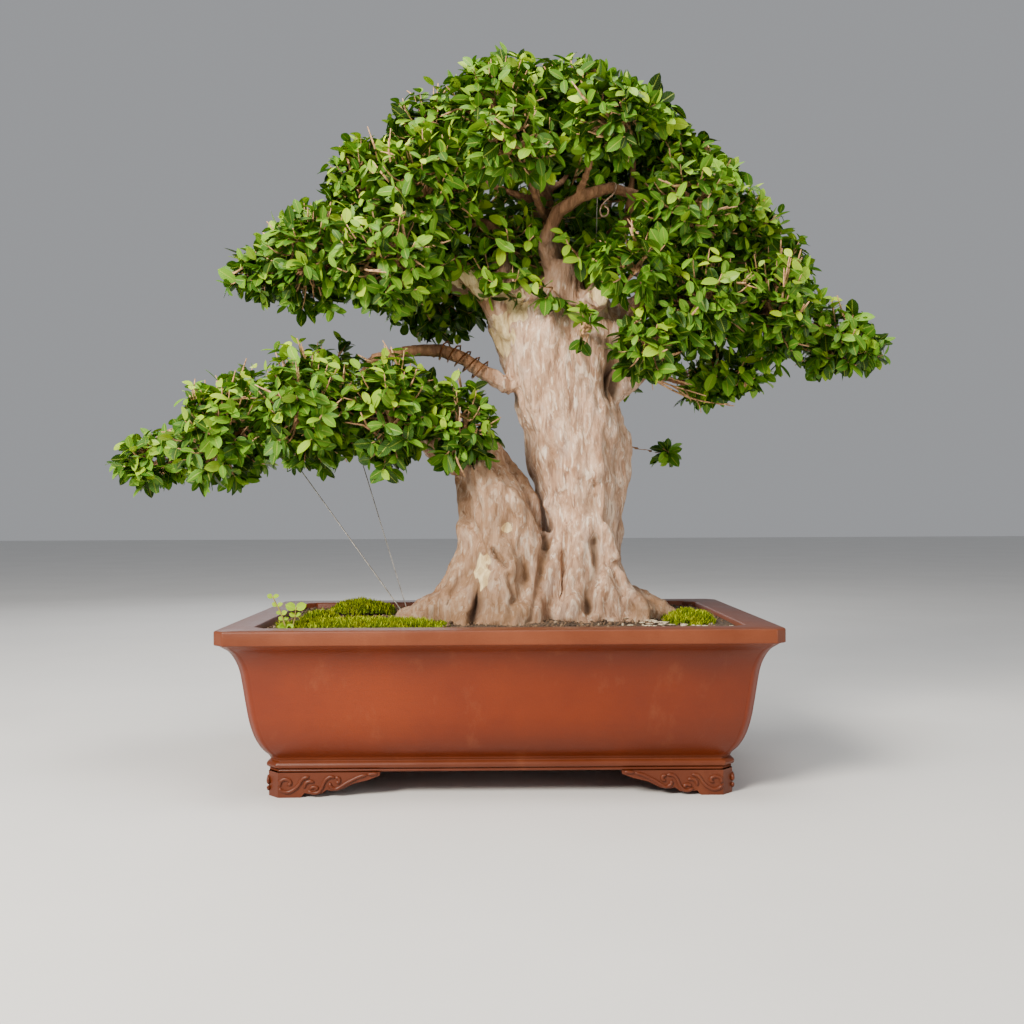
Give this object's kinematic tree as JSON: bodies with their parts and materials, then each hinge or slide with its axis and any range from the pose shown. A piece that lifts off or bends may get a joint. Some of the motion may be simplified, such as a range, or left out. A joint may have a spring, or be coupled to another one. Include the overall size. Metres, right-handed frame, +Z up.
{
  "type": "potted jaboticaba bonsai",
  "caption": "Old bonsai with a massive main trunk, a second trunk leaning left, a wide domed crown and a low left branch, in a rectangular clay pot on scroll feet.",
  "frame": {"origin": "on the surface that the feet stand on, under the middle of the pot", "axes": "+X along the pot's long side, to the right seen from the tree's front; +Y away from the viewer, so the front faces -Y; +Z up"},
  "size_m": [1.0263, 0.4566, 0.9401],
  "materials": {
    "clay": "unglazed, burnished, satin",
    "screen": "matt",
    "grit": "rough",
    "soil": "loose and rough",
    "moss": "soft and matt",
    "seedling_leaf": "satin",
    "bark": "smooth bark with fine streaks",
    "guy_wire": "dull",
    "training_wire": "anodised brown",
    "leaf": "waxy and glossy"
  },
  "bodies": {
    "root": {"pot": "clay", "drainage_screen_left": "screen", "drainage_screen_right": "screen", "drainage_grit": "grit", "soil": "soil", "moss_mound": "moss", "moss_front_left": "moss", "moss_clump": "moss", "moss_right": "moss", "seedling": "seedling_leaf", "tree_wood": "bark", "guy_wire_outer": "guy_wire", "guy_wire_inner": "guy_wire", "guy_wire_crown": "guy_wire", "training_wire": "training_wire", "foliage_lower_left_tip": "leaf", "foliage_lower_left_front": "leaf", "foliage_lower_left_rear": "leaf", "foliage_lower_left_mid_front": "leaf", "foliage_lower_left_mid": "leaf", "foliage_lower_left_back": "leaf", "foliage_lower_left_inner_front": "leaf", "foliage_lower_left_inner": "leaf", "foliage_lower_left_trunk": "leaf", "foliage_upper_left_tip": "leaf", "foliage_upper_left_front": "leaf", "foliage_upper_left_rear": "leaf", "foliage_upper_left_inner_front": "leaf", "foliage_upper_left_inner": "leaf", "foliage_upper_left_back": "leaf", "foliage_shoulder_left_tip": "leaf", "foliage_shoulder_left_front": "leaf", "foliage_shoulder_left_back": "leaf", "foliage_crown_left": "leaf", "foliage_crown_front": "leaf", "foliage_crown_top": "leaf", "foliage_crown_front_right": "leaf", "foliage_crown_back": "leaf", "foliage_crown_right": "leaf", "foliage_crown_back_right": "leaf", "foliage_crown_face": "leaf", "foliage_crown_face_right": "leaf", "foliage_shoulder_right_tip": "leaf", "foliage_shoulder_right_front": "leaf", "foliage_shoulder_right_outer": "leaf", "foliage_shoulder_right_back": "leaf", "foliage_right_front": "leaf", "foliage_right_inner": "leaf", "foliage_right_mid_front": "leaf", "foliage_right_rear": "leaf", "foliage_right_tip": "leaf", "foliage_right_back": "leaf", "foliage_right_low_inner": "leaf", "foliage_right_low": "leaf", "foliage_back_low": "leaf", "foliage_back_mid": "leaf", "foliage_back_high": "leaf", "foliage_trunk_stem": "leaf", "foliage_back_twig": "leaf"}
  },
  "joints": []
}
